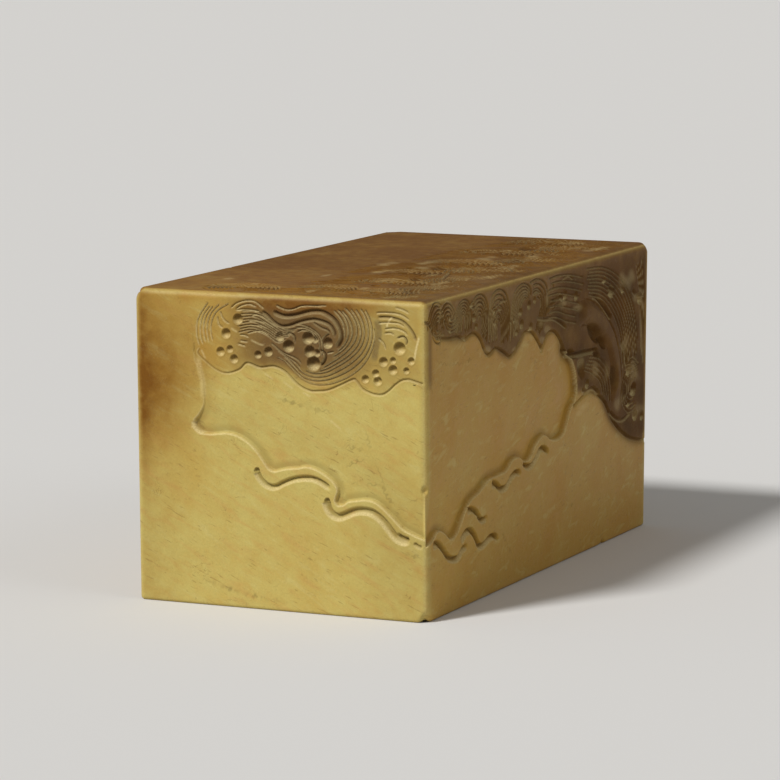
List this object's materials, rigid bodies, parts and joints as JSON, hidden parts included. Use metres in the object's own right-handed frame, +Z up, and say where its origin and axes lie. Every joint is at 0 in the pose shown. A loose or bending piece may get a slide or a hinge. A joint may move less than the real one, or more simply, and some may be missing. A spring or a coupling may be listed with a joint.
{
  "type": "seal stamp",
  "caption": "Squared soapstone seal stamp block with clouds, hills and rocks carved in thin relief over its sides and top, and a flat bare seal face below.",
  "frame": {"origin": "middle of the seal face, which is the base that the stone stands on", "axes": "+Z up, +Y along the stone's long side towards its back end; the front end in the picture faces -Y and the long face in the picture faces +X"},
  "size_m": [0.036, 0.071, 0.036],
  "materials": {
    "raw_stone": "sawn",
    "polished_stone": "polished",
    "pale_stone": "waxed satin",
    "rind_stone": "waxed gloss"
  },
  "bodies": {
    "root": {"back_cloud": "rind_stone", "back_foreground": "pale_stone", "back_ground": "pale_stone", "back_ridge": "pale_stone", "back_rock_mass": "rind_stone", "front_cloud_left": "rind_stone", "front_cloud_main": "rind_stone", "front_cloud_right": "rind_stone", "front_foreground": "pale_stone", "front_ground": "pale_stone", "front_ridge_lower": "pale_stone", "front_ridge_upper": "pale_stone", "left_cloud_far": "rind_stone", "left_cloud_near": "rind_stone", "left_foreground": "pale_stone", "left_ground": "pale_stone", "left_ridge": "pale_stone", "right_arched_band": "rind_stone", "right_cloud_far": "rind_stone", "right_cloud_middle": "rind_stone", "right_cloud_near": "rind_stone", "right_foreground": "pale_stone", "right_ground": "pale_stone", "right_ridge_far": "pale_stone", "right_ridge_near": "pale_stone", "right_rock_mass": "rind_stone", "seal_face": "polished_stone", "stone_core": "raw_stone", "top_cloud_front": "rind_stone", "top_cloud_side": "rind_stone", "top_plain": "rind_stone"}
  },
  "joints": []
}
